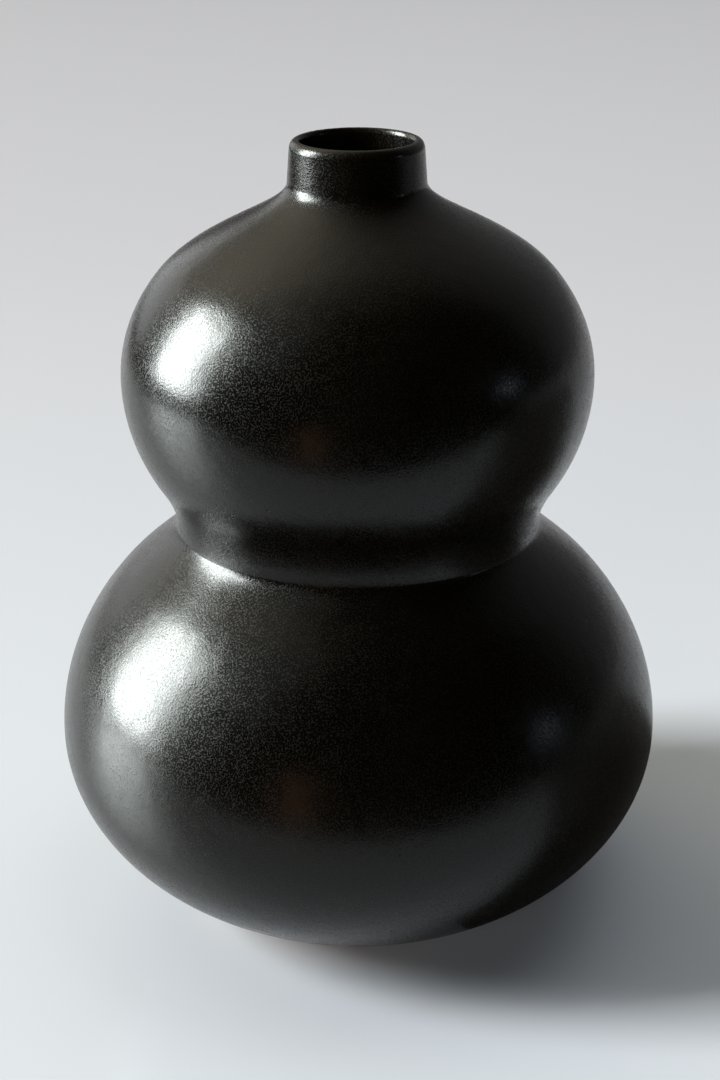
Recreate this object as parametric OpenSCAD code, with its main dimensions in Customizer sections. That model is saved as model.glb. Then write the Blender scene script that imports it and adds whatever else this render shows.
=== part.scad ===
// Double-gourd bottle vase in dark satin-glazed stoneware.
// Two thrown bulbs are luted together over a coved waist band, with a short
// neck on top and a trimmed foot ring below, and one coat of glaze over all
// of it but the foot. Every piece is a body of revolution about +Z, and the
// origin is the middle of the foot's resting face.

/* [Overall] */
// Thickness of the clay wall at the belly of each bulb
wall_t = 4.6; // [3.8:0.1:5.4]
// Thickness of the fired glaze coat
glaze_t = 0.4; // [0.25:0.05:0.6]

/* [Foot] */
// Height of the foot ring
foot_h = 3.2; // [2.6:0.2:4]
// Width of the foot ring's wall
foot_w = 6.5; // [5:0.5:8]
// Distance of the ring in from the edge of the bulb's flat underside
foot_inset = 2.7; // [1.5:0.1:4]
// Bevel trimmed on the foot ring's two lower edges
foot_bevel = 0.9; // [0.5:0.1:1.4]
// Height of bare clay between the ring and the edge of the glaze
bare_h = 4.3; // [2.5:0.1:7]

/* [Lower bulb] */
// Greatest diameter of the vase, over the glaze
lower_d = 159; // [150:1:168]
// Height of the lower bulb's widest line above the table
lower_z = 50.5; // [48:0.5:54]
// Rise of the lower bulb's oval above its widest line
lower_rise = 67.5; // [63:0.5:72]
// Diameter of the lower bulb's flat underside
land_d = 79.4; // [74:0.2:84]
// Thickness of the floor inside the foot ring
floor_t = 7; // [5:0.5:9]

/* [Waist] */
// Narrowest diameter of the waist, over the glaze
waist_d = 94; // [88:0.2:97]
// Height of the cove from the lower bulb's shoulder up to the narrowest line
cove_h = 13.5; // [12:0.5:15]
// How far out the cove reaches, as a share of the way to the lower bulb's side
cove_share = 0.43; // [0.36:0.01:0.52]
// Height of the throat from the narrowest line up to the upper bulb
throat_h = 12.5; // [11:0.1:14]
// How far out the throat reaches, as a share of the way to the upper bulb's side
throat_share = 0.35; // [0.28:0.01:0.42]

/* [Upper bulb] */
// Greatest diameter of the upper bulb, over the glaze
upper_d = 120; // [114:1:126]
// Drop of the upper bulb's oval below its widest line
upper_drop = 53; // [50:0.5:56]
// Rise of the upper bulb's oval above its widest line
upper_rise = 46.8; // [44:0.2:50]

/* [Neck and lip] */
// Diameter of the glazed mouth
mouth_d = 28; // [26:0.2:30]
// Length of the straight wall inside the neck
mouth_len = 12; // [9:0.5:14]
// Thickness of the neck at the lip, with its glaze
neck_t = 2.7; // [2.4:0.1:3.4]
// Growth of the neck's outer radius down to its base
neck_spread = 0.6; // [0.2:0.1:1.2]
// Height of the neck from its base to the crest of the lip
neck_h = 10.5; // [8:0.5:14]
// Height of the flare from the upper bulb's curve up to the neck's base
flare_h = 23; // [20:0.5:26]
// How far out the flare reaches, as a share of the way to the upper bulb's side
flare_share = 0.77; // [0.65:0.01:0.85]
// Distance from the mouth's wall to the crest of the lip
lip_in = 0.9; // [0.6:0.1:1.2]
// Depth of the rounding from the crest down to the neck
lip_round = 2.4; // [1.6:0.2:3]

/* [Seams] */
// Height of the step in each luted seam of the wall
seam_step = 2; // [1.4:0.1:2.6]
// Width of the collar that is luted on with the neck, beyond the neck's base
collar_w = 8; // [6:0.5:11]
// Height of the tongue that keys the foot ring into the floor
tongue_h = 1.4; // [1:0.1:2]
// Width of that tongue
tongue_w = 2.4; // [1.8:0.1:3]

/* [Smoothness] */
// Number of bands in a quarter of a bulb's curve
bands = 20; // [16:1:26]

/* [Hidden] */
$fn = 144;
roll_fn = 24;

// Radii of the outside, over the glaze, from the foot up to the lip
lower_r = lower_d / 2;
land_r = land_d / 2;
foot_r = land_r - foot_inset;
waist_r = waist_d / 2;
upper_r = upper_d / 2;
mouth_r = mouth_d / 2;
crest_r = mouth_r + lip_in;
neck_r = mouth_r + neck_t;
neck_base_r = neck_r + neck_spread;
cove_r = waist_r + cove_share * (lower_r - waist_r);
throat_r = waist_r + throat_share * (upper_r - waist_r);
flare_r = neck_base_r + flare_share * (upper_r - neck_base_r);

// Where the curves of the outside give way to each other
lower_drop = (lower_z - foot_h) / sqrt(1 - pow(land_r / lower_r, 2));
land_a = -acos(land_r / lower_r);
glaze_a = -asin((lower_z - foot_h - bare_h) / lower_drop);
cove_a = acos(cove_r / lower_r);
throat_a = -acos(throat_r / upper_r);
flare_a = acos(flare_r / upper_r);

// Heights, each piece standing on the one below
waist_z = lower_z + lower_rise * sin(cove_a) + cove_h;
upper_z = waist_z + throat_h - upper_drop * sin(throat_a);
neck_base_z = upper_z + upper_rise * sin(flare_a) + flare_h;
vase_h = neck_base_z + neck_h;

// The hollow: one wall further in, thicker towards the foot
foot_wall_share = 1.5;
in_lower_r = lower_r - wall_t;
in_lower_rise = lower_rise - wall_t;
in_lower_drop = lower_drop - foot_wall_share * wall_t;
in_upper_r = upper_r - wall_t;
in_upper_rise = upper_rise - wall_t;
in_upper_drop = upper_drop - wall_t;
in_waist_r = waist_r - wall_t;
in_cove_a = acos((cove_r - wall_t) / in_lower_r);
in_throat_a = -acos((throat_r - wall_t) / in_upper_r);
floor_z = foot_h + floor_t;
floor_blend_h = 5;
floor_blend_w = 9;
in_floor_a = -asin((lower_z - floor_z - floor_blend_h) / in_lower_drop);
root_w = 4;
root_a = acos((mouth_r + root_w) / in_upper_r);

// Handles of the blends, as shares of the straight way between their ends
cove_low_share = 0.35;
cove_top_share = 0.1;
throat_low_share = 0.56;
throat_top_share = 0.32;
flare_low_share = 0.39;
flare_top_share = 0.16;
root_share = 0.3;
floor_share = 0.5;

// Height of the lip's inner rounding, as a share of its width
inner_round_share = 1.5;

// Radius of the glaze's rolled edge, as a share of the coat
roll_share = 1.1;

// Bands in the other curves, as shares of those in a quarter of a bulb
long_bands_share = 0.7;
short_bands_share = 0.5;
tiny_bands_share = 0.3;
long_bands = ceil(bands * long_bands_share);
short_bands = ceil(bands * short_bands_share);
tiny_bands = ceil(bands * tiny_bands_share);

// Point on an oval arc about the axis at angle a.
function oval(rx, rz, zc, a) = [rx * cos(a), zc + rz * sin(a)];

// Unit tangent of that arc, in the sense of growing a.
function oval_dir(rx, rz, a) = unit([-rx * sin(a), rz * cos(a)]);

function unit(v) = v / norm(v);

// Points along an oval arc from angle a0 to a1, in n bands.
function arc(rx, rz, zc, a0, a1, n) =
    [for (i = [0:n]) oval(rx, rz, zc, a0 + (a1 - a0) * i / n)];

// Bands that an arc from a0 to a1 gets.
function share(a0, a1) = max(2, ceil(bands * abs(a1 - a0) / 90));

// Cubic blend from p0 along d0 to p1 along d1, in n bands. Its handles are
// the shares k0 and k1 of the straight way, and its end points are left out.
function blend(p0, d0, k0, p1, d1, k1, n) =
    let (way = norm(p1 - p0), q0 = p0 + k0 * way * d0, q1 = p1 - k1 * way * d1)
    [for (i = [1:n - 1])
        let (t = i / n, s = 1 - t)
        s^3 * p0 + 3 * s^2 * t * q0 + 3 * s * t^2 * q1 + t^3 * p1];

// Left-hand normal of an open line of points at point i. Past the axis the
// line goes on as its own mirror image.
function before(l, i) = i == 0 ? l[0] - (l[1] - l[0]) : l[i - 1];
function after(l, i) = i == len(l) - 1 ? [-l[i - 1].x, l[i - 1].y] : l[i + 1];
function left(l, i) =
    let (d = unit(after(l, i) - before(l, i)))
    [-d.y, d.x];

// The line moved by t to its left, point for point.
function inset(l, t) = [for (i = [0:len(l) - 1]) l[i] + t * left(l, i)];

function part_of(l, i0, i1) = [for (i = [i0:i1]) l[i]];
function last(l) = l[len(l) - 1];
function tail(l) = part_of(l, 1, len(l) - 1);
function reversed(l) = [for (i = [len(l) - 1:-1:0]) l[i]];

// Radius of an oval at height z.
function oval_r(rx, rz, zc, z) = rx * sqrt(1 - pow((z - zc) / rz, 2));

// Outside of the vase from the foot up to the neck, over the glaze
bare = arc(lower_r, lower_drop, lower_z, land_a, glaze_a, tiny_bands);
below = arc(lower_r, lower_drop, lower_z, glaze_a, 0, share(glaze_a, 0));
above = arc(lower_r, lower_rise, lower_z, 0, cove_a, share(0, cove_a));
under = arc(upper_r, upper_drop, upper_z, throat_a, 0, share(throat_a, 0));
over = arc(upper_r, upper_rise, upper_z, 0, flare_a, share(0, flare_a));
shoulder_p = last(above);
waist_p = [waist_r, waist_z];
flare_p = last(over);
neck_base_p = [neck_base_r, neck_base_z];
neck_top_p = [neck_r, vase_h - lip_round];
cove = blend(shoulder_p, oval_dir(lower_r, lower_rise, cove_a), cove_low_share,
    waist_p, [0, 1], cove_top_share, long_bands);
throat = blend(waist_p, [0, 1], throat_low_share,
    under[0], oval_dir(upper_r, upper_drop, throat_a), throat_top_share, short_bands);
flare = blend(flare_p, oval_dir(upper_r, upper_rise, flare_a), flare_low_share,
    neck_base_p, unit(neck_top_p - neck_base_p), flare_top_share, long_bands);

// Lip: two quarter ovals that meet at the crest
inner_round = inner_round_share * lip_in;
outer_lip = [for (i = [0:tiny_bands])
    let (a = 90 * i / tiny_bands)
    [crest_r + (neck_r - crest_r) * cos(a), neck_top_p.y + lip_round * sin(a)]];
inner_lip = [for (i = [1:tiny_bands])
    let (a = 90 * i / tiny_bands)
    [crest_r - lip_in * sin(a), vase_h - inner_round * (1 - cos(a))]];

// Inside of the vase from the mouth down to the middle of the floor
bore_end_p = [mouth_r, vase_h - inner_round - mouth_len];
in_over = arc(in_upper_r, in_upper_rise, upper_z, root_a, 0, share(0, root_a));
in_under = arc(in_upper_r, in_upper_drop, upper_z, 0, in_throat_a, share(in_throat_a, 0));
in_waist_p = [in_waist_r, waist_z];
in_above = arc(in_lower_r, in_lower_rise, lower_z, in_cove_a, 0, share(0, in_cove_a));
in_below = arc(in_lower_r, in_lower_drop, lower_z, 0, in_floor_a, share(in_floor_a, 0));
root = blend(bore_end_p, [0, -1], root_share,
    in_over[0], -oval_dir(in_upper_r, in_upper_rise, root_a), root_share, tiny_bands);
in_throat = blend(last(in_under), -oval_dir(in_upper_r, in_upper_drop, in_throat_a), throat_top_share,
    in_waist_p, [0, -1], throat_low_share, short_bands);
in_cove = blend(in_waist_p, [0, -1], cove_top_share,
    in_above[0], -oval_dir(in_lower_r, in_lower_rise, in_cove_a), cove_low_share, short_bands);
floor_edge_p = last(in_below) - [floor_blend_w, floor_blend_h];
floor_edge = blend(last(in_below), -oval_dir(in_lower_r, in_lower_drop, in_floor_a), floor_share,
    floor_edge_p, [-1, 0], floor_share, tiny_bands);

// The whole glazed surface as one line: up the outside, over the lip, down
// the inside and in to the axis
skin = concat(bare, tail(below), tail(above), cove, [waist_p], throat, under, tail(over), flare,
    [neck_base_p], outer_lip, inner_lip, [bore_end_p], root, in_over, tail(in_under),
    in_throat, [in_waist_p], in_cove, in_above, tail(in_below), floor_edge,
    [floor_edge_p, [0, floor_z]]);
clay = inset(skin, glaze_t);
line_i = tiny_bands;
last_i = len(skin) - 1;

// Luted seams: each steps over at the middle of its wall
band_z0 = min(shoulder_p.y, in_above[0].y) - seam_step;
band_z1 = max(under[0].y, last(in_under).y) + seam_step;
band_r0 = (oval_r(lower_r, lower_rise, lower_z, band_z0)
    + oval_r(in_lower_r, in_lower_rise, lower_z, band_z0)) / 2;
band_r1 = (oval_r(upper_r, upper_drop, upper_z, band_z1)
    + oval_r(in_upper_r, in_upper_drop, upper_z, band_z1)) / 2;
collar_r = neck_base_r + collar_w;
collar_ledge_r = collar_r - seam_step;
collar_ledge_z = (lookup(collar_r, flare) + lookup(collar_ledge_r, in_over)) / 2;
tongue_r = foot_r - foot_w / 2;

// Overrun of the cutting profiles beyond the vase
past = 10;
side = lower_r + past;
top = vase_h + past;

// Half section of all the clay above the foot ring.
module clay_section() {
    difference() {
        polygon(concat(clay, [[0, foot_h], [clay[0].x, foot_h]]));
        tongue_section();
    }
}

module tongue_section() {
    translate([tongue_r - tongue_w / 2, foot_h])
        square([tongue_w, tongue_h]);
}

// Trimmed ring of bare clay that the vase stands on, keyed into the floor.
module foot_ring() {
    color([0.62, 0.52, 0.42])
        rotate_extrude() {
            polygon([
                [foot_r - foot_bevel, 0],
                [foot_r, foot_bevel],
                [foot_r, foot_h],
                [foot_r - foot_w, foot_h],
                [foot_r - foot_w, foot_bevel],
                [foot_r - foot_w + foot_bevel, 0]
            ]);
            tongue_section();
        }
}

// Lower bulb with its floor, up to the stepped seam under the waist.
module lower_bulb() {
    color([0.60, 0.50, 0.41])
        rotate_extrude()
            intersection() {
                clay_section();
                polygon([
                    [0, 0],
                    [side, 0],
                    [side, band_z0],
                    [band_r0, band_z0],
                    [band_r0, band_z0 + seam_step],
                    [0, band_z0 + seam_step]
                ]);
            }
}

// Coved band that joins the two bulbs.
module waist_band() {
    color([0.64, 0.54, 0.44])
        rotate_extrude()
            intersection() {
                clay_section();
                polygon([
                    [band_r0, band_z0],
                    [side, band_z0],
                    [side, band_z1],
                    [band_r1, band_z1],
                    [band_r1, band_z1 + seam_step],
                    [0, band_z1 + seam_step],
                    [0, band_z0 + seam_step],
                    [band_r0, band_z0 + seam_step]
                ]);
            }
}

// Upper bulb, with a stepped seat for the neck.
module upper_bulb() {
    color([0.60, 0.50, 0.41])
        rotate_extrude()
            intersection() {
                clay_section();
                polygon([
                    [band_r1, band_z1],
                    [side, band_z1],
                    [side, top],
                    [collar_r, top],
                    [collar_r, collar_ledge_z],
                    [collar_ledge_r, collar_ledge_z],
                    [collar_ledge_r, band_z1 + past],
                    [0, band_z1 + past],
                    [0, band_z1 + seam_step],
                    [band_r1, band_z1 + seam_step]
                ]);
            }
}

// Neck with its fillet and rounded lip.
module neck() {
    color([0.64, 0.54, 0.44])
        rotate_extrude()
            intersection() {
                clay_section();
                polygon([
                    [0, upper_z],
                    [collar_ledge_r, upper_z],
                    [collar_ledge_r, collar_ledge_z],
                    [collar_r, collar_ledge_z],
                    [collar_r, top],
                    [0, top]
                ]);
            }
}

// Glaze: one coat outside, over the lip and down the whole inside, with a
// rolled edge where it stops above the bare foot.
module glaze() {
    color([0.045, 0.045, 0.042])
        rotate_extrude()
            difference() {
                union() {
                    polygon(concat(part_of(skin, line_i, last_i),
                        reversed(part_of(clay, line_i, last_i))));
                    translate(clay[line_i])
                        circle(roll_share * glaze_t, $fn = roll_fn);
                }
                polygon(concat(clay, [[0, foot_h], [clay[0].x, foot_h]]));
            }
}

foot_ring();
lower_bulb();
waist_band();
upper_bulb();
neck();
glaze();
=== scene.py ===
"""Double-gourd bottle vase in satin black glaze, standing on a pale table.

The vase is a body of revolution. Its outline is worked out here from the same
sizes as its solids, at a finer step, so that the glaze reflects cleanly.
Those sizes are in millimetres, and all else is in metres and degrees, with +Z
up and the foot's face at zero.
"""

import logging
import math
from dataclasses import dataclass, field
from enum import Enum
from typing import Sequence, Union

import bpy
from mathutils import Euler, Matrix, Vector


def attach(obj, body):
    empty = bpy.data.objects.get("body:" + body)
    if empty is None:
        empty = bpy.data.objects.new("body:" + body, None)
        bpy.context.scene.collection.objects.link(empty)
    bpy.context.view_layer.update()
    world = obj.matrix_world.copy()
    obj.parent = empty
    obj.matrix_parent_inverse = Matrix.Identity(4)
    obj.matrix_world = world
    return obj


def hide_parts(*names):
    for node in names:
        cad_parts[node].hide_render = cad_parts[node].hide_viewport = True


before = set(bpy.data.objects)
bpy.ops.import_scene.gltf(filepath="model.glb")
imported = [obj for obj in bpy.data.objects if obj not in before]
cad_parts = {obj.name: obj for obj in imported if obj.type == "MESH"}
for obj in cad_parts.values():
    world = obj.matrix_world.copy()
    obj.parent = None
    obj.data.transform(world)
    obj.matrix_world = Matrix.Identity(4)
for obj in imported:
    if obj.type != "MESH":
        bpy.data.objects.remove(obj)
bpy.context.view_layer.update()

LOG = logging.getLogger("vase")
MM = 0.001
ROOT = "root"

# Steps of the outline: in a quarter of an oval, in a short stretch, in the
# glaze's rolled edge, and in the shortest arc
ARC_STEPS = 64
NECK_STEPS = 12
ROLL_STEPS = 8
LEAST_STEPS = 3

# Share of an arc's usual steps that the lip and the hollow get
LIP_FINENESS = 0.4
HOLLOW_FINENESS = 0.5

# Steps round the axis
GLAZE_TURNS = 384
CLAY_TURNS = 288

# Smallest radius that isn't on the axis, in millimetres, and the least angle
# between faces that shows as an edge
ON_AXIS = 1e-6
SHARP_ANGLE = 30.0

Point = tuple[float, float]
Colour = tuple[float, float, float]

# Directions of the outline
UP: Point = (0.0, 1.0)
DOWN: Point = (0.0, -1.0)
INWARD: Point = (-1.0, 0.0)


class Solid(Enum):
    """Solids of the frame."""

    FOOT_RING = "foot_ring"
    LOWER_BULB = "lower_bulb"
    WAIST_BAND = "waist_band"
    UPPER_BULB = "upper_bulb"
    NECK = "neck"
    GLAZE = "glaze"


class Slot(Enum):
    """Material slots of the record."""

    GLAZE = "glaze"
    BARE_CLAY = "bare_clay"


class Maths(Enum):
    """Operations of a Math node."""

    ADD = "ADD"
    SUBTRACT = "SUBTRACT"
    MULTIPLY = "MULTIPLY"
    POWER = "POWER"
    MINIMUM = "MINIMUM"
    MAXIMUM = "MAXIMUM"
    SINE = "SINE"


# Shader building


@dataclass(frozen=True)
class Wire:
    """One output socket, with Python's operators standing for Math nodes."""

    sheet: "NodeSheet"
    socket: bpy.types.NodeSocket

    def _math(self, operation: Maths, *values: "Value") -> "Wire":
        """Add a Math node.

        Args:
            operation: The node's operation.
            values: Its inputs, numbers or wires.

        Returns:
            The node's value.
        """
        settings = {"operation": operation.value}
        return self.sheet.add("ShaderNodeMath", settings, dict(enumerate(values)))

    def __add__(self, other: "Value") -> "Wire":
        """Sum."""
        return self._math(Maths.ADD, self, other)

    def __radd__(self, other: float) -> "Wire":
        """Sum with a number in front."""
        return self._math(Maths.ADD, other, self)

    def __sub__(self, other: "Value") -> "Wire":
        """Difference."""
        return self._math(Maths.SUBTRACT, self, other)

    def __rsub__(self, other: float) -> "Wire":
        """Difference from a number."""
        return self._math(Maths.SUBTRACT, other, self)

    def __mul__(self, other: "Value") -> "Wire":
        """Product."""
        return self._math(Maths.MULTIPLY, self, other)

    def __rmul__(self, other: float) -> "Wire":
        """Product with a number in front."""
        return self._math(Maths.MULTIPLY, other, self)

    def __pow__(self, power: float) -> "Wire":
        """Power."""
        return self._math(Maths.POWER, self, power)

    def clamped(self) -> "Wire":
        """The value held between zero and one."""
        return self._math(Maths.MINIMUM, self._math(Maths.MAXIMUM, self, 0.0), 1.0)

    def sine(self) -> "Wire":
        """Sine of the value, in radians."""
        return self._math(Maths.SINE, self)

    def ramp(self, low: float, high: float) -> "Wire":
        """Smooth step from zero at low to one at high.

        Args:
            low: Value at which the step starts.
            high: Value at which it is full.

        Returns:
            The stepped value.
        """
        settings = {"interpolation_type": "SMOOTHSTEP"}
        inputs = {"Value": self, "From Min": low, "From Max": high}
        return self.sheet.add("ShaderNodeMapRange", settings, inputs)


Value = Union[Wire, float]

# Sockets of a Mix node that mixes colours
MIX_SHARE = 0
MIX_FIRST = 6
MIX_SECOND = 7
MIX_RESULT = 2


class NodeSheet:
    """The node tree of one material or world."""

    def __init__(self, tree: bpy.types.NodeTree) -> None:
        """Empty the tree.

        Args:
            tree: The node tree to fill.
        """
        self.tree = tree
        tree.nodes.clear()

    def add(self, kind: str, settings: dict | None = None, inputs: dict | None = None,
            output: int | str = 0) -> Wire:
        """Add one node.

        Args:
            kind: The node's type.
            settings: Properties to set first.
            inputs: Values or wires by the socket's name or number.
            output: Name or number of the output to hand back.

        Returns:
            That output as a wire, which is empty for a node without outputs.
        """
        node = self.tree.nodes.new(kind)
        for name, value in (settings or {}).items():
            setattr(node, name, value)
        for name, value in (inputs or {}).items():
            if isinstance(value, Wire):
                self.tree.links.new(value.socket, node.inputs[name])
            else:
                node.inputs[name].default_value = value
        outputs = node.outputs
        return Wire(self, outputs[output]) if len(outputs) else Wire(self, None)

    def mix(self, share: Value, first: "Wire | Colour", second: "Wire | Colour") -> Wire:
        """Mix two colours.

        Args:
            share: Share of the second colour.
            first: Colour at share zero.
            second: Colour at share one.

        Returns:
            The mixed colour.
        """
        sockets = {MIX_SHARE: share, MIX_FIRST: as_rgba(first), MIX_SECOND: as_rgba(second)}
        return self.add("ShaderNodeMix", {"data_type": "RGBA"}, sockets, MIX_RESULT)

    def place(self) -> Wire:
        """Position on the piece, in metres."""
        return self.add("ShaderNodeTexCoord", output="Object")

    def height(self) -> Wire:
        """Height above the table, in metres."""
        return self.add("ShaderNodeSeparateXYZ", inputs={0: self.place()}, output="Z")

    def away(self) -> Wire:
        """Distance along +Y, in metres."""
        return self.add("ShaderNodeSeparateXYZ", inputs={0: self.place()}, output="Y")

    def radius(self) -> Wire:
        """Distance from the axis, in metres."""
        level = {0: self.place(), 1: (1.0, 1.0, 0.0)}
        flat = self.add("ShaderNodeVectorMath", {"operation": "MULTIPLY"}, level)
        return self.add("ShaderNodeVectorMath", {"operation": "LENGTH"}, {0: flat}, "Value")

    def noise(self, size: float, detail: float = 1.0, roughness: float = 0.5) -> Wire:
        """Cloudy noise.

        Args:
            size: Rough width of one cloud, in metres.
            detail: Number of finer layers.
            roughness: Strength of the finer layers.

        Returns:
            Values about one half.
        """
        inputs = {"Vector": self.place(), "Scale": 1.0 / size, "Detail": detail, "Roughness": roughness}
        return self.add("ShaderNodeTexNoise", inputs=inputs)

    def cells(self, size: float) -> Wire:
        """Distance to the nearest of some scattered points.

        Args:
            size: Rough spacing of the points, in metres.

        Returns:
            The distance, in spacings.
        """
        inputs = {"Vector": self.place(), "Scale": 1.0 / size}
        return self.add("ShaderNodeTexVoronoi", {"feature": "F1"}, inputs)

    def spots(self, size: float, edge: Point) -> Wire:
        """Small round spots at scattered points.

        Args:
            size: Rough spacing of the spots, in metres.
            edge: Radii at which a spot starts to fade and ends, in spacings.

        Returns:
            One in the spots and zero between them.
        """
        return 1.0 - self.cells(size).ramp(*edge)

    def relief(self, height: Wire, depth: float) -> Wire:
        """Turn a height into a normal.

        Args:
            height: Height pattern.
            depth: Height of one unit of it, in metres.

        Returns:
            The normal.
        """
        inputs = {"Height": height, "Distance": depth, "Strength": 1.0}
        return self.add("ShaderNodeBump", inputs=inputs)


def as_rgba(colour: "Wire | Colour") -> "Wire | tuple[float, ...]":
    """A colour with its alpha, or the wire as it is."""
    return colour if isinstance(colour, Wire) else (*colour, 1.0)


class Finish:
    """A material that a finish's dataclass describes."""

    name: str

    def shader(self, sheet: NodeSheet) -> Wire:
        """Build the shader.

        Args:
            sheet: Node tree to build it on.

        Returns:
            The shader's output.
        """
        raise NotImplementedError

    def material(self) -> bpy.types.Material:
        """Make the material, or hand back the one made before.

        Returns:
            The material.
        """
        found = bpy.data.materials.get(self.name)
        if found:
            return found
        made = bpy.data.materials.new(self.name)
        made.use_nodes = True
        sheet = NodeSheet(made.node_tree)
        surface = self.shader(sheet)
        sheet.add("ShaderNodeOutputMaterial", inputs={"Surface": surface})
        return made


@dataclass(frozen=True)
class SatinGlaze(Finish):
    """Near-black satin glaze with a fine metallic grain.

    Sizes are the widths or spacings of its patterns. A reach gives the values
    of a pattern at which a step starts and is full, and a weight its strength.
    """

    name: str = "satin_black_glaze"
    deep: Colour = (0.0010, 0.0007, 0.0003)
    broken: Colour = (0.0038, 0.0028, 0.0012)
    ior: float = 1.325
    # Roughness where the glaze is glossiest and dullest, and its patches
    gloss: float = 0.18
    dull: float = 0.24
    patch_reach: Point = (0.35, 0.65)
    # Soft clouds and smaller mottling, in colour and gloss
    cloud: float = 0.035
    cloud_detail: float = 4.0
    cloud_reach: Point = (0.35, 0.75)
    cloud_weight: float = 0.5
    mottle: float = 0.004
    mottle_detail: float = 3.0
    mottle_reach: Point = (0.5, 0.8)
    mottle_weight: float = 0.3
    # Fine dull flakes, which give the highlights their granular border
    flake: float = 0.00042
    flake_reach: Point = (0.5, 0.62)
    flake_gloss: float = 0.34
    flake_weight: float = 0.5
    # Relief: grain, long swells and a few pinholes
    grain: float = 0.0005
    grain_roughness: float = 0.6
    grain_depth: float = 0.00004
    swell: float = 0.006
    swell_weight: float = 2.0
    pit: float = 0.009
    pit_edge: Point = (0.02, 0.045)
    pit_weight: float = 1.5
    # Thinner glaze on the crest of the lip, by the depths below its top
    lip_z: float = 0.206
    lip_depths: Point = (0.0022, 0.0002)
    lip_weight: float = 0.7

    def shader(self, sheet: NodeSheet) -> Wire:
        """Build the glaze's shader.

        Args:
            sheet: Node tree to build it on.

        Returns:
            The shader's output.
        """
        clouds = sheet.noise(self.cloud, self.cloud_detail)
        mottle = sheet.noise(self.mottle, self.mottle_detail)
        grain = sheet.noise(self.grain, roughness=self.grain_roughness)
        swell = sheet.noise(self.swell)
        flakes = sheet.noise(self.flake).ramp(*self.flake_reach)
        pits = sheet.spots(self.pit, self.pit_edge)
        thin = sheet.height().ramp(*(self.lip_z - depth for depth in self.lip_depths))

        shades = clouds.ramp(*self.cloud_reach) * self.cloud_weight
        shades = shades + mottle.ramp(*self.mottle_reach) * self.mottle_weight
        tone = (shades + thin * self.lip_weight).clamped()
        colour = sheet.mix(tone, self.deep, self.broken)
        colour = sheet.mix(flakes * self.flake_weight, colour, self.broken)

        patches = (clouds * 0.5 + mottle * 0.5).ramp(*self.patch_reach)
        rough = self.gloss + patches * (self.dull - self.gloss)
        rough = rough + flakes * (self.flake_gloss - self.gloss)
        surface = grain + swell * self.swell_weight - pits * self.pit_weight
        inputs = {
            "Base Color": colour,
            "Roughness": rough,
            "Normal": sheet.relief(surface, self.grain_depth),
            "IOR": self.ior,
        }
        return sheet.add("ShaderNodeBsdfPrincipled", inputs=inputs)


@dataclass(frozen=True)
class BareClay(Finish):
    """Unglazed stoneware with trimming rings and dark specks."""

    name: str = "bare_stoneware"
    pale: Colour = (0.36, 0.25, 0.165)
    toasted: Colour = (0.21, 0.12, 0.07)
    speck: Colour = (0.05, 0.03, 0.02)
    # Toasted patches
    patch: float = 0.012
    patch_detail: float = 4.0
    patch_reach: Point = (0.35, 0.7)
    patch_weight: float = 0.8
    # Rings that the trimming tool left, with their wobble in ring widths
    ring: float = 0.0011
    ring_wobble: float = 3.0
    ring_weight: float = 0.15
    # Dark specks
    speck_size: float = 0.0016
    speck_edge: Point = (0.12, 0.2)
    speck_weight: float = 0.7
    # Grit and relief
    grit: float = 0.0007
    grit_detail: float = 3.0
    grit_roughness: float = 0.7
    grit_weight: float = 1.2
    speck_sink: float = 0.6
    depth: float = 0.00006
    smooth: float = 0.72
    rough_growth: float = 0.2

    def shader(self, sheet: NodeSheet) -> Wire:
        """Build the clay's shader.

        Args:
            sheet: Node tree to build it on.

        Returns:
            The shader's output.
        """
        patch = sheet.noise(self.patch, self.patch_detail)
        grit = sheet.noise(self.grit, self.grit_detail, self.grit_roughness)
        specks = sheet.spots(self.speck_size, self.speck_edge)
        turns = sheet.radius() * (1.0 / self.ring) + patch * self.ring_wobble
        rings = (turns * math.tau).sine() * 0.5 + 0.5
        tone = (patch.ramp(*self.patch_reach) * self.patch_weight + rings * self.ring_weight).clamped()
        body = sheet.mix(tone, self.pale, self.toasted)
        colour = sheet.mix(specks * self.speck_weight, body, self.speck)
        surface = rings + grit * self.grit_weight - specks * self.speck_sink
        inputs = {
            "Base Color": colour,
            "Roughness": self.smooth + grit * self.rough_growth,
            "Normal": sheet.relief(surface, self.depth),
        }
        return sheet.add("ShaderNodeBsdfPrincipled", inputs=inputs)


@dataclass(frozen=True)
class TableTop(Finish):
    """Plain pale satin table, a little darker and greyer far off, as painted shade for the light that
    falls off with distance.
    """

    name: str = "pale_table"
    near: Colour = (0.60, 0.65, 0.705)
    # The far colour is painted shade: the table darkens and greys away from the camera as the light
    # falls off.
    far: Colour = (0.575, 0.59, 0.64)
    fade: Point = (-0.1, 0.8)
    roughness: float = 0.30

    def shader(self, sheet: NodeSheet) -> Wire:
        """Build the table's shader.

        Args:
            sheet: Node tree to build it on.

        Returns:
            The shader's output.
        """
        # Painted shade: the colour turns to the far one along +Y.
        colour = sheet.mix(sheet.away().ramp(*self.fade), self.near, self.far)
        inputs = {"Base Color": colour, "Roughness": self.roughness}
        return sheet.add("ShaderNodeBsdfPrincipled", inputs=inputs)


@dataclass(frozen=True)
class PaintedReflection(Finish):
    """Dark matte sheet that only reflections see, for painted reflections of the dark room and a
    painted shadow.
    """

    name: str = "painted_dark_room"
    colour: Colour = (0.012, 0.012, 0.012)

    def shader(self, sheet: NodeSheet) -> Wire:
        """Build the sheet's shader.

        Args:
            sheet: Node tree to build it on.

        Returns:
            The shader's output.
        """
        return sheet.add("ShaderNodeBsdfDiffuse", inputs={"Color": (*self.colour, 1.0)})


# Outline of the vase


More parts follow.
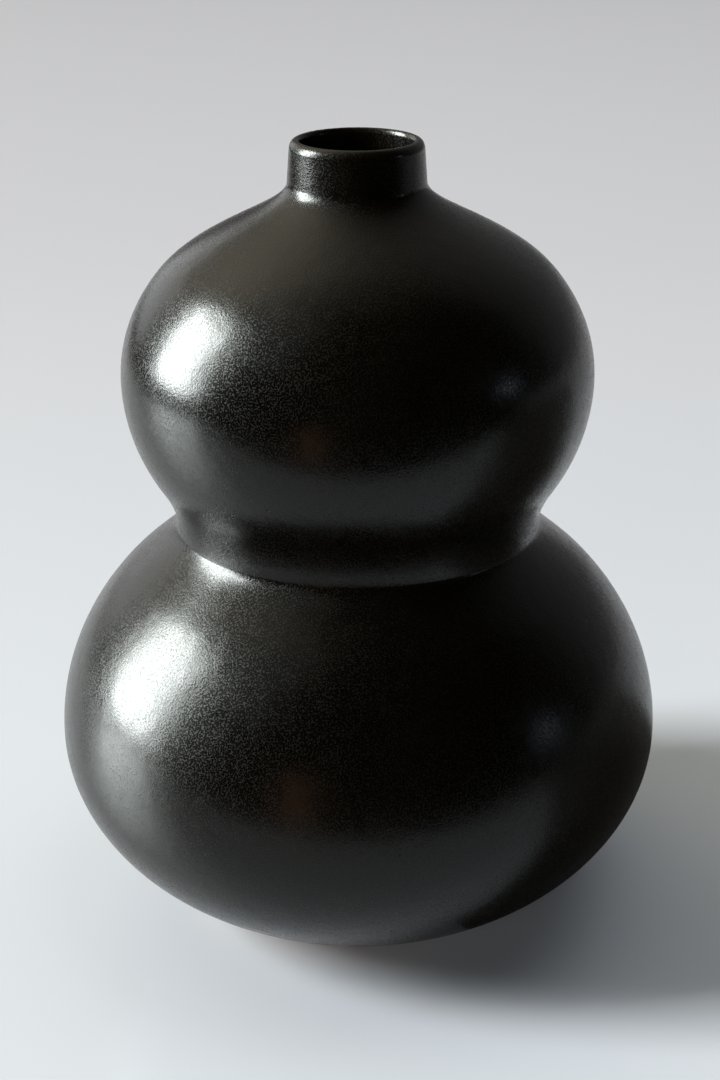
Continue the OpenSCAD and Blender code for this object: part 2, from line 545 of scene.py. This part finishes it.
def unit(x: float, y: float) -> Point:
    """A direction scaled to length one."""
    size = math.hypot(x, y)
    return x / size, y / size


def flipped(direction: Point) -> Point:
    """The opposite direction."""
    return -direction[0], -direction[1]


@dataclass(frozen=True)
class Oval:
    """Oval about the axis, with one half of it in use."""

    radius: float
    rise: float
    middle: float

    def at(self, angle: float) -> Point:
        """Point at an angle in degrees."""
        a = math.radians(angle)
        return self.radius * math.cos(a), self.middle + self.rise * math.sin(a)

    def along(self, angle: float) -> Point:
        """Unit tangent there, in the sense of growing angle."""
        a = math.radians(angle)
        return unit(-self.radius * math.sin(a), self.rise * math.cos(a))

    def arc(self, start: float, stop: float, fineness: float = 1.0) -> list[Point]:
        """Points from one angle to another.

        Args:
            start: First angle, in degrees.
            stop: Last angle.
            fineness: Points per step of the usual arc.

        Returns:
            The points, with both ends.
        """
        steps = max(LEAST_STEPS, math.ceil(fineness * ARC_STEPS * abs(stop - start) / 90))
        return [self.at(start + (stop - start) * i / steps) for i in range(steps + 1)]

    def angle_at_radius(self, radius: float) -> float:
        """Angle of the upper half at which it has a radius."""
        return math.degrees(math.acos(radius / self.radius))

    def angle_at_height(self, height: float) -> float:
        """Angle at which it has a height."""
        return math.degrees(math.asin((height - self.middle) / self.rise))

    def radius_at(self, height: float) -> float:
        """Radius at a height."""
        return self.radius * math.sqrt(1 - ((height - self.middle) / self.rise) ** 2)

    def shrunk(self, wall: float, drop: float) -> "Oval":
        """The same oval one wall further in."""
        return Oval(self.radius - wall, self.rise - drop, self.middle)


def blend(start: Point, start_way: Point, stop: Point, stop_way: Point, shares: Point,
          steps: int = ARC_STEPS) -> list[Point]:
    """Cubic blend between two points.

    Args:
        start: First point.
        start_way: Direction there.
        stop: Last point.
        stop_way: Direction there.
        shares: Lengths of the first and last handle, as shares of the straight way.
        steps: Number of steps.

    Returns:
        The points between the ends.
    """
    way = math.dist(start, stop)
    points = []
    for i in range(1, steps):
        t = i / steps
        s = 1.0 - t
        points.append(tuple(
            s**3 * start[k] + 3 * s * s * t * (start[k] + shares[0] * way * start_way[k])
            + 3 * s * t * t * (stop[k] - shares[1] * way * stop_way[k]) + t**3 * stop[k]
            for k in (0, 1)
        ))
    return points


def straight(start: Point, stop: Point) -> list[Point]:
    """Points from one point almost to another.

    Args:
        start: First point.
        stop: Point at which the line ends.

    Returns:
        The points, with the first and without the last.
    """
    shares = [i / NECK_STEPS for i in range(NECK_STEPS)]
    return [tuple(start[k] + (stop[k] - start[k]) * share for k in (0, 1)) for share in shares]


def inset(line: Sequence[Point], depth: float) -> list[Point]:
    """Move a line to its left.

    Args:
        line: Points of the line, the last one on the axis.
        depth: Distance to move it.

    Returns:
        The moved points.
    """
    moved = []
    for i, (x, y) in enumerate(line):
        before = line[i - 1] if i else (2 * x - line[1][0], 2 * y - line[1][1])
        after = line[i + 1] if i + 1 < len(line) else (-line[i - 1][0], line[i - 1][1])
        dx, dy = unit(after[0] - before[0], after[1] - before[1])
        moved.append((x - depth * dy, y + depth * dx))
    return moved


@dataclass(frozen=True)
class VaseShape:
    """Sizes of the vase, in millimetres as its solids have them.

    Only the outer handles of the cove and the throat differ. They move the
    glaze at the waist by up to about half a millimetre, so that its curve
    reflects as it should. The hollow keeps the solids' handles.
    """

    wall: float = 4.6
    coat: float = 0.4
    foot_h: float = 3.2
    foot_w: float = 6.5
    foot_inset: float = 2.7
    foot_bevel: float = 0.9
    bare_h: float = 4.3
    lower_r: float = 79.5
    lower_z: float = 50.5
    lower_rise: float = 67.5
    land_r: float = 39.7
    floor: float = 7.0
    waist_r: float = 47.0
    cove_h: float = 13.5
    cove_share: float = 0.43
    throat_h: float = 12.5
    throat_share: float = 0.35
    upper_r: float = 60.0
    upper_drop: float = 53.0
    upper_rise: float = 46.8
    mouth_r: float = 14.0
    mouth_len: float = 12.0
    neck_t: float = 2.7
    neck_spread: float = 0.6
    neck_h: float = 10.5
    flare_h: float = 23.0
    flare_share: float = 0.77
    lip_in: float = 0.9
    lip_round: float = 2.4
    seam_step: float = 2.0
    tongue_h: float = 1.4
    tongue_w: float = 2.4
    floor_blend_h: float = 5.0
    floor_blend_w: float = 9.0
    root_w: float = 4.0
    foot_wall_share: float = 1.5
    foot_ease_share: float = 0.25
    inner_round_share: float = 1.5
    glaze_roll_share: float = 1.1
    cove_shares: Point = (0.35, 0.13)
    hollow_cove_shares: Point = (0.1, 0.35)
    throat_shares: Point = (0.3, 0.32)
    hollow_throat_shares: Point = (0.32, 0.56)
    flare_shares: Point = (0.39, 0.16)
    bore_shares: Point = (0.3, 0.3)
    floor_shares: Point = (0.5, 0.5)

    @property
    def foot_r(self) -> float:
        """Outer radius of the foot ring."""
        return self.land_r - self.foot_inset

    @property
    def neck_r(self) -> float:
        """Outer radius of the neck under the lip."""
        return self.mouth_r + self.neck_t

    @property
    def neck_base_r(self) -> float:
        """Outer radius of the neck at its base."""
        return self.neck_r + self.neck_spread

    @property
    def cove_r(self) -> float:
        """Radius at which the cove leaves the lower bulb."""
        return self.waist_r + self.cove_share * (self.lower_r - self.waist_r)

    @property
    def throat_r(self) -> float:
        """Radius at which the throat reaches the upper bulb."""
        return self.waist_r + self.throat_share * (self.upper_r - self.waist_r)

    @property
    def flare_r(self) -> float:
        """Radius at which the flare leaves the upper bulb."""
        return self.neck_base_r + self.flare_share * (self.upper_r - self.neck_base_r)

    @property
    def lower_top(self) -> Oval:
        """Upper half of the lower bulb."""
        return Oval(self.lower_r, self.lower_rise, self.lower_z)

    @property
    def lower_bottom(self) -> Oval:
        """Lower half of the lower bulb."""
        drop = (self.lower_z - self.foot_h) / math.sqrt(1 - (self.land_r / self.lower_r) ** 2)
        return Oval(self.lower_r, drop, self.lower_z)

    @property
    def waist_z(self) -> float:
        """Height of the narrowest line."""
        return self.lower_top.at(self.lower_top.angle_at_radius(self.cove_r))[1] + self.cove_h

    @property
    def upper_z(self) -> float:
        """Height of the upper bulb's widest line."""
        half = Oval(self.upper_r, self.upper_drop, 0.0)
        return self.waist_z + self.throat_h + half.at(half.angle_at_radius(self.throat_r))[1]

    @property
    def upper_top(self) -> Oval:
        """Upper half of the upper bulb."""
        return Oval(self.upper_r, self.upper_rise, self.upper_z)

    @property
    def upper_bottom(self) -> Oval:
        """Lower half of the upper bulb."""
        return Oval(self.upper_r, self.upper_drop, self.upper_z)

    @property
    def shoulder_hollow(self) -> Oval:
        """Hollow of the lower bulb's upper half."""
        return self.lower_top.shrunk(self.wall, self.wall)

    @property
    def neck_base_z(self) -> float:
        """Height of the neck's base."""
        return self.upper_top.at(self.upper_top.angle_at_radius(self.flare_r))[1] + self.flare_h

    @property
    def height(self) -> float:
        """Height of the vase."""
        return self.neck_base_z + self.neck_h

    def outside(self) -> tuple[list[Point], int]:
        """The glazed surface from the foot to the crest of the lip.

        Returns:
            The points, and the place in the list where the glaze starts.
        """
        bottom, shoulder = self.lower_bottom, self.lower_top
        under, over = self.upper_bottom, self.upper_top
        land = bottom.angle_at_height(self.foot_h)
        edge = bottom.angle_at_height(self.foot_h + self.bare_h)
        cove = shoulder.angle_at_radius(self.cove_r)
        throat = -under.angle_at_radius(self.throat_r)
        flare = over.angle_at_radius(self.flare_r)
        waist = (self.waist_r, self.waist_z)
        base = (self.neck_base_r, self.neck_base_z)
        top = (self.neck_r, self.height - self.lip_round)
        bare = bottom.arc(land, edge)
        rising = unit(top[0] - base[0], top[1] - base[1])
        points = bare + bottom.arc(edge, 0)[1:] + shoulder.arc(0, cove)[1:]
        points += blend(shoulder.at(cove), shoulder.along(cove), waist, UP, self.cove_shares) + [waist]
        points += blend(waist, UP, under.at(throat), under.along(throat), self.throat_shares)
        points += under.arc(throat, 0) + over.arc(0, flare)[1:]
        points += blend(over.at(flare), over.along(flare), base, rising, self.flare_shares)
        points += straight(base, top)
        crest = self.mouth_r + self.lip_in
        lip = Oval(self.neck_r - crest, self.lip_round, top[1])
        points += [(crest + x, y) for x, y in lip.arc(0, 90, LIP_FINENESS)]
        return points, len(bare) - 1

    def inside(self) -> list[Point]:
        """The glazed surface from just past the crest of the lip to the middle of the floor.

        Returns:
            The points.
        """
        over = self.upper_top.shrunk(self.wall, self.wall)
        under = self.upper_bottom.shrunk(self.wall, self.wall)
        shoulder = self.shoulder_hollow
        bottom = self.lower_bottom.shrunk(self.wall, self.foot_wall_share * self.wall)
        floor_z = self.foot_h + self.floor
        rounding = self.inner_round_share * self.lip_in
        root = over.angle_at_radius(self.mouth_r + self.root_w)
        throat = -under.angle_at_radius(self.throat_r - self.wall)
        cove = shoulder.angle_at_radius(self.cove_r - self.wall)
        foot = bottom.angle_at_height(floor_z + self.floor_blend_h)
        lip = Oval(self.lip_in, rounding, self.height - rounding)
        bore_end = (self.mouth_r, self.height - rounding - self.mouth_len)
        waist = (self.waist_r - self.wall, self.waist_z)
        edge = (bottom.at(foot)[0] - self.floor_blend_w, floor_z)
        middle = (0.0, floor_z)

        points = [(self.mouth_r + self.lip_in - x, y) for x, y in lip.arc(90, 0, LIP_FINENESS)[1:]]
        points += straight(points[-1], bore_end)[1:] + [bore_end]
        points += blend(bore_end, DOWN, over.at(root), flipped(over.along(root)),
                        self.bore_shares, NECK_STEPS)
        points += over.arc(root, 0, HOLLOW_FINENESS) + under.arc(0, throat, HOLLOW_FINENESS)[1:]
        points += blend(under.at(throat), flipped(under.along(throat)), waist, DOWN,
                        self.hollow_throat_shares, NECK_STEPS) + [waist]
        points += blend(waist, DOWN, shoulder.at(cove), flipped(shoulder.along(cove)),
                        self.hollow_cove_shares, NECK_STEPS)
        points += shoulder.arc(cove, 0, HOLLOW_FINENESS) + bottom.arc(0, foot, HOLLOW_FINENESS)[1:]
        points += blend(bottom.at(foot), flipped(bottom.along(foot)), edge, INWARD,
                        self.floor_shares, NECK_STEPS)
        return points + straight(edge, middle) + [middle]


# Pieces


def revolve(name: str, section: Sequence[Point], turns: int) -> bpy.types.Object:
    """Spin a closed half section about the axis.

    Args:
        name: Name of the piece.
        section: Points of radius and height, in millimetres.
        turns: Number of steps round the axis.

    Returns:
        The piece, smooth but for its sharp edges.
    """
    verts: list[tuple[float, float, float]] = []
    rows: list[list[int]] = []
    for radius, height in section:
        if radius < ON_AXIS:
            rows.append([len(verts)] * turns)
            verts.append((0.0, 0.0, height * MM))
            continue
        rows.append(list(range(len(verts), len(verts) + turns)))
        for j in range(turns):
            a = math.tau * j / turns
            verts.append((radius * MM * math.cos(a), radius * MM * math.sin(a), height * MM))
    faces = []
    for lower, upper in zip(rows, rows[1:] + rows[:1]):
        for j in range(turns):
            k = (j + 1) % turns
            face = list(dict.fromkeys((lower[j], lower[k], upper[k], upper[j])))
            if len(face) > 2:
                faces.append(face)
    mesh = bpy.data.meshes.new(name)
    mesh.from_pydata(verts, [], faces)
    mesh.validate()
    mesh.shade_smooth()
    mesh.set_sharp_from_angle(angle=math.radians(SHARP_ANGLE))
    piece = bpy.data.objects.new(name, mesh)
    bpy.context.scene.collection.objects.link(piece)
    return piece


def dress(piece: bpy.types.Object, finish: Finish) -> None:
    """Give a piece or a solid its finish.

    Args:
        piece: The piece or solid.
        finish: Its finish.
    """
    piece.data.materials.clear()
    piece.data.materials.append(finish.material())
    LOG.info("%s: %d points", piece.name, len(piece.data.vertices))


def fit_out(piece: bpy.types.Object, solid: Solid, finish: Finish) -> None:
    """Give a piece its place in the frame and its finish.

    Args:
        piece: The piece.
        solid: The solid that it stands for.
        finish: Its finish.
    """
    dress(piece, finish)
    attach(piece, ROOT)
    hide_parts(solid.value)


@dataclass
class Sections:
    """Half sections of the pieces, cut from one outline.

    The skin is the glaze's surface from the foot over the lip to the middle of
    the floor, and the clay lies one coat under it. Start and crest are the
    places in both where the glaze starts and the lip is highest.
    """

    shape: VaseShape
    start: int = field(init=False)
    crest: int = field(init=False)
    skin: list[Point] = field(init=False)
    clay: list[Point] = field(init=False)

    def __post_init__(self) -> None:
        """Work out the outline of the glaze and of the clay under it."""
        outside, self.start = self.shape.outside()
        self.crest = len(outside) - 1
        self.skin = outside + self.shape.inside()
        self.clay = inset(self.skin, self.shape.coat)

    def glaze(self) -> list[Point]:
        """The coat, with a rolled edge above the bare foot.

        Returns:
            The half section.
        """
        x, y = self.clay[self.start]
        ahead = self.clay[self.start + 1]
        way = unit(ahead[0] - x, ahead[1] - y)
        roll = self.shape.glaze_roll_share * self.shape.coat
        edge = []
        for i in range(ROLL_STEPS + 1):
            a = math.radians(90 * i / ROLL_STEPS)
            edge.append((
                x + roll * (math.sin(a) * way[1] - math.cos(a) * way[0]),
                y - roll * (math.sin(a) * way[0] + math.cos(a) * way[1]),
            ))
        return edge + self.skin[self.start + 2:] + self.clay[self.start:][::-1]

    def _tongue(self) -> tuple[float, float]:
        """Inner and outer radius of the tongue that keys the foot ring."""
        middle = self.shape.foot_r - self.shape.foot_w / 2
        return middle - self.shape.tongue_w / 2, middle + self.shape.tongue_w / 2

    def lower_body(self) -> list[Point]:
        """The lower bulb's clay up to its stepped seam, with the groove for the foot ring.

        Returns:
            The half section.
        """
        s = self.shape
        body, hollow = s.lower_top, s.shoulder_hollow
        outer_end = body.at(body.angle_at_radius(s.cove_r))
        inner_end = hollow.at(hollow.angle_at_radius(s.cove_r - s.wall))
        seam = min(outer_end[1], inner_end[1]) - s.seam_step
        middle = (body.radius_at(seam) + hollow.radius_at(seam)) / 2
        outer = [p for p in self.clay[:self.crest] if p[1] < seam]
        inner = [p for p in self.clay[self.crest:] if p[1] < seam + s.seam_step]
        left, right = self._tongue()
        keyed = s.foot_h + s.tongue_h
        base = [(0.0, s.foot_h), (left, s.foot_h), (left, keyed),
                (right, keyed), (right, s.foot_h), (outer[0][0], s.foot_h)]
        return base + outer + [(middle, seam), (middle, seam + s.seam_step)] + inner

    def foot(self) -> list[Point]:
        """The foot ring, with its bevels eased and its tongue on top.

        Returns:
            The half section.
        """
        s = self.shape
        outer, inner = s.foot_r, s.foot_r - s.foot_w
        left, right = self._tongue()
        keyed = s.foot_h + s.tongue_h
        ease = s.foot_ease_share * s.foot_bevel
        half = ease / 2
        return [
            (inner + s.foot_bevel + ease, 0.0), (outer - s.foot_bevel - ease, 0.0),
            (outer - s.foot_bevel + half, half), (outer - half, s.foot_bevel - half),
            (outer, s.foot_bevel + ease), (outer, s.foot_h), (right, s.foot_h),
            (right, keyed), (left, keyed), (left, s.foot_h), (inner, s.foot_h),
            (inner, s.foot_bevel + ease), (inner + half, s.foot_bevel - half),
            (inner + s.foot_bevel - half, half),
        ]


@dataclass
class GlazeCoat:
    """The coat of glaze: outside, lip and hollow in one skin."""

    sections: Sections
    finish: SatinGlaze
    turns: int = GLAZE_TURNS

    def build(self) -> None:
        """Build the coat."""
        coat = revolve("glaze_coat", self.sections.glaze(), self.turns)
        fit_out(coat, Solid.GLAZE, self.finish)


@dataclass
class BareFoot:
    """What stays bare: the foot ring and the underside of the lower bulb."""

    sections: Sections
    finish: BareClay
    turns: int = CLAY_TURNS

    def build(self) -> None:
        """Build the ring and the lower bulb's clay."""
        body = revolve("lower_bulb_clay", self.sections.lower_body(), self.turns)
        fit_out(body, Solid.LOWER_BULB, self.finish)
        ring = revolve("foot_ring_clay", self.sections.foot(), self.turns)
        fit_out(ring, Solid.FOOT_RING, self.finish)


@dataclass
class CoveredClay:
    """Clay sections that the glaze covers all over, which stay the solids."""

    finish: BareClay
    solids: tuple[Solid, ...] = (Solid.WAIST_BAND, Solid.UPPER_BULB, Solid.NECK)

    def build(self) -> None:
        """Give each section the clay's finish."""
        for solid in self.solids:
            dress(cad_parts[solid.value], self.finish)


# Studio


def heading(azimuth: float, elevation: float) -> Vector:
    """Direction by compass: azimuth 0 is +Y and 90 is +X, in degrees."""
    a, e = math.radians(azimuth), math.radians(elevation)
    return Vector((math.sin(a) * math.cos(e), math.cos(a) * math.cos(e), math.sin(e)))


def rectangle(left: float, near: float, right: float, far: float) -> list[Point]:
    """Corners of a level rectangle."""
    return [(left, near), (right, near), (right, far), (left, far)]


def plane(name: str, corners: Sequence[Point], height: float, finish: Finish) -> bpy.types.Object:
    """Lay a level plane that isn't part of the vase.

    Args:
        name: Its name.
        corners: Its four corners.
        height: Its height.
        finish: Its finish.

    Returns:
        The plane.
    """
    mesh = bpy.data.meshes.new(name)
    mesh.from_pydata([(x, y, height) for x, y in corners], [], [(0, 1, 2, 3)])
    mesh.materials.append(finish.material())
    flat = bpy.data.objects.new(name, mesh)
    bpy.context.scene.collection.objects.link(flat)
    return flat


@dataclass(frozen=True)
class SoftBox:
    """An area lamp that faces the vase, and that the camera doesn't see.

    It is placed by heading and distance, and has a radiance as a surface has
    one. Mirrored lamps show in reflections, and lighting ones light surfaces.
    """

    name: str
    azimuth: float
    elevation: float
    distance: float
    width: float
    height: float
    radiance: float
    colour: Colour = (1.0, 1.0, 1.0)
    mirrored: bool = True
    lighting: bool = True

    def build(self, target: Vector) -> None:
        """Hang the lamp.

        Args:
            target: Point that it faces.
        """
        lamp = bpy.data.lights.new(self.name, "AREA")
        lamp.shape = "RECTANGLE"
        lamp.size = self.width
        lamp.size_y = self.height
        lamp.energy = self.radiance * math.pi * self.width * self.height
        lamp.color = self.colour
        holder = bpy.data.objects.new(self.name, lamp)
        holder.location = target + heading(self.azimuth, self.elevation) * self.distance
        holder.rotation_euler = (target - holder.location).to_track_quat("-Z", "Y").to_euler()
        holder.visible_camera = False
        holder.visible_glossy = self.mirrored
        holder.visible_diffuse = self.lighting
        bpy.context.scene.collection.objects.link(holder)


@dataclass(frozen=True)
class Viewpoint:
    """Where the photograph was taken from.

    Its axis meets the target's height at the target's row of the photograph,
    and its distance is a level one.
    """

    focal_px: float = 2000.0
    frame_px: float = 1080.0
    target_z: float = 0.111
    target_row: float = 502.9
    distance: float = 0.488
    elevation: float = 21.13
    roll: float = -0.14
    side: float = 0.0005
    sensor_mm: float = 36.0
    nearest: float = 0.01

    def build(self) -> None:
        """Set up the camera."""
        drop = math.degrees(math.atan((self.frame_px / 2 - self.target_row) / self.focal_px))
        pitch = self.elevation + drop
        lens = bpy.data.cameras.new("camera")
        lens.sensor_width = self.sensor_mm
        lens.lens = self.focal_px * self.sensor_mm / self.frame_px
        lens.clip_start = self.nearest
        camera = bpy.data.objects.new("camera", lens)
        height = self.target_z + self.distance * math.tan(math.radians(self.elevation))
        camera.location = (self.side, -self.distance, height)
        aim = Euler((math.radians(90.0 - pitch), 0.0, 0.0), "XYZ").to_matrix()
        turn = Euler((0.0, 0.0, math.radians(self.roll)), "XYZ").to_matrix()
        camera.rotation_euler = (aim @ turn).to_euler("XYZ")
        bpy.context.scene.collection.objects.link(camera)
        bpy.context.scene.camera = camera


# The room's window is two lamps, as one soft box can't give both the highlight
# on the glaze and the shadow on the table
LAMPS = (
    SoftBox("window", azimuth=-83.0, elevation=18.7, distance=12.0, width=5.8, height=8.5,
            radiance=49.0, colour=(0.93, 1.0, 0.975), lighting=False),
    SoftBox("key", azimuth=-95.3, elevation=29.0, distance=12.0, width=3.6, height=5.2,
            radiance=44.0, colour=(1.0, 0.99, 0.97), mirrored=False),
    SoftBox("front_fill", azimuth=-157.0, elevation=14.0, distance=2.0, width=1.0, height=0.5,
            radiance=5.0, mirrored=False),
    SoftBox("far_window", azimuth=104.0, elevation=9.0, distance=4.0, width=0.35, height=0.35,
            radiance=5.0, colour=(0.72, 0.83, 1.0)),
    SoftBox("overhead_fill", azimuth=60.0, elevation=70.0, distance=3.0, width=2.0, height=2.0,
            radiance=1.35, mirrored=False),
    SoftBox("low_wall", azimuth=-34.0, elevation=11.0, distance=5.5, width=3.0, height=2.4,
            radiance=1.25, colour=(0.96, 0.98, 1.0), lighting=False),
    SoftBox("left_wall", azimuth=-121.0, elevation=50.0, distance=6.0, width=3.4, height=4.6,
            radiance=0.3, colour=(0.95, 1.0, 0.95), lighting=False),
    SoftBox("warm_card", azimuth=-160.0, elevation=-7.0, distance=0.33, width=0.05, height=0.13,
            radiance=0.8, colour=(1.0, 0.5, 0.28), lighting=False),
)


@dataclass
class Table:
    """The table's top, and dark sheets over it that only reflections see: painted reflections of the
    dark room about it, and a painted shadow of the vase.
    """

    finish: TableTop = TableTop()
    half: float = 6.0
    # Painted reflection: dark sheets before and to the left of the table, which only reflections see,
    # stand for the dark room beyond its edges.
    painted_reflection: PaintedReflection = PaintedReflection()
    reflection_height: float = 0.0006
    front: float = -0.245
    left: float = -0.68
    # Painted shadow: a grey sheet that only reflections see, standing for the vase's shadow on the
    # table to its right.
    shade: PaintedReflection = PaintedReflection("painted_vase_shadow", (0.1, 0.1, 0.1))
    shade_height: float = 0.0008
    shade_corners: tuple[Point, ...] = ((0.03, -0.058), (1.2, -0.41), (1.2, 0.6), (0.03, 0.04))

    def build(self) -> None:
        """Lay the top, and over it the painted reflections and painted shadow that the camera doesn't
        see.
        """
        edge = self.half
        before = rectangle(self.left, -edge, edge, self.front)
        beside = rectangle(-edge, -edge, self.left, edge)
        plane("table_top", rectangle(-edge, -edge, edge, edge), 0.0, self.finish)
        # Painted reflections of the dark room, and the vase's painted shadow, as sheets that only
        # reflections see.
        painted_reflections = (
            plane("dark_front", before, self.reflection_height, self.painted_reflection),
            plane("dark_left", beside, self.reflection_height, self.painted_reflection),
            # Painted shadow of the vase, which only reflections see.
            plane("painted_shadow_right", self.shade_corners, self.shade_height, self.shade),
        )
        for painted_reflection in painted_reflections:
            painted_reflection.visible_camera = False
            painted_reflection.visible_diffuse = False
            painted_reflection.visible_shadow = False


@dataclass(frozen=True)
class Room:
    """The room's own light: a bright wall by the window, a dim one behind, and dark elsewhere.

    Each wall has the heading of its middle. The bright one fades with a power
    of the cosine to it, and the dim one between two such cosines.
    """

    dark: Colour = (0.012, 0.011, 0.009)
    back: Point = (30.0, 20.0)
    back_reach: Point = (0.5, 0.95)
    back_colour: Colour = (0.2, 0.2, 0.2)
    wall: Point = (-52.0, 49.0)
    wall_power: float = 8.5
    wall_colour: Colour = (1.74, 1.6, 1.26)

    def build(self) -> None:
        """Make the world."""
        world = bpy.data.worlds.new("room")
        bpy.context.scene.world = world
        world.use_nodes = True
        sheet = NodeSheet(world.node_tree)
        dim = self._facing(sheet, self.back).ramp(*self.back_reach)
        bright = self._facing(sheet, self.wall).clamped() ** self.wall_power
        room = sheet.mix(dim, self.dark, self.back_colour)
        glow = sheet.add("ShaderNodeBackground", inputs={
            "Color": sheet.mix(bright, room, self.wall_colour), "Strength": 1.0})
        sheet.add("ShaderNodeOutputWorld", inputs={"Surface": glow})

    def _facing(self, sheet: NodeSheet, way: Point) -> Wire:
        """How far the world's direction turns to a heading.

        Args:
            sheet: The world's node tree.
            way: Azimuth and elevation of the heading, in degrees.

        Returns:
            The cosine between the two.
        """
        toward = sheet.add("ShaderNodeTexCoord", output="Generated")
        vectors = {0: toward, 1: tuple(heading(*way))}
        return sheet.add("ShaderNodeVectorMath", {"operation": "DOT_PRODUCT"}, vectors, "Value")


@dataclass
class Studio:
    """Table, light and camera."""

    table: Table = field(default_factory=Table)
    room: Room = Room()
    lamps: tuple[SoftBox, ...] = LAMPS
    view: Viewpoint = Viewpoint()
    target: tuple[float, float, float] = (0.0, 0.0, 0.10)

    def build(self) -> None:
        """Build everything that isn't the vase."""
        self.table.build()
        self.room.build()
        for lamp in self.lamps:
            lamp.build(Vector(self.target))
        self.view.build()


def main() -> None:
    """Build the vase and its studio."""
    logging.basicConfig(level=logging.INFO, format="%(message)s")
    bpy.context.scene.view_settings.view_transform = "Standard"
    sections = Sections(VaseShape())
    clay = BareClay()
    GlazeCoat(sections, SatinGlaze()).build()
    BareFoot(sections, clay).build()
    CoveredClay(clay).build()
    Studio().build()


if __name__ == "__main__":
    main()
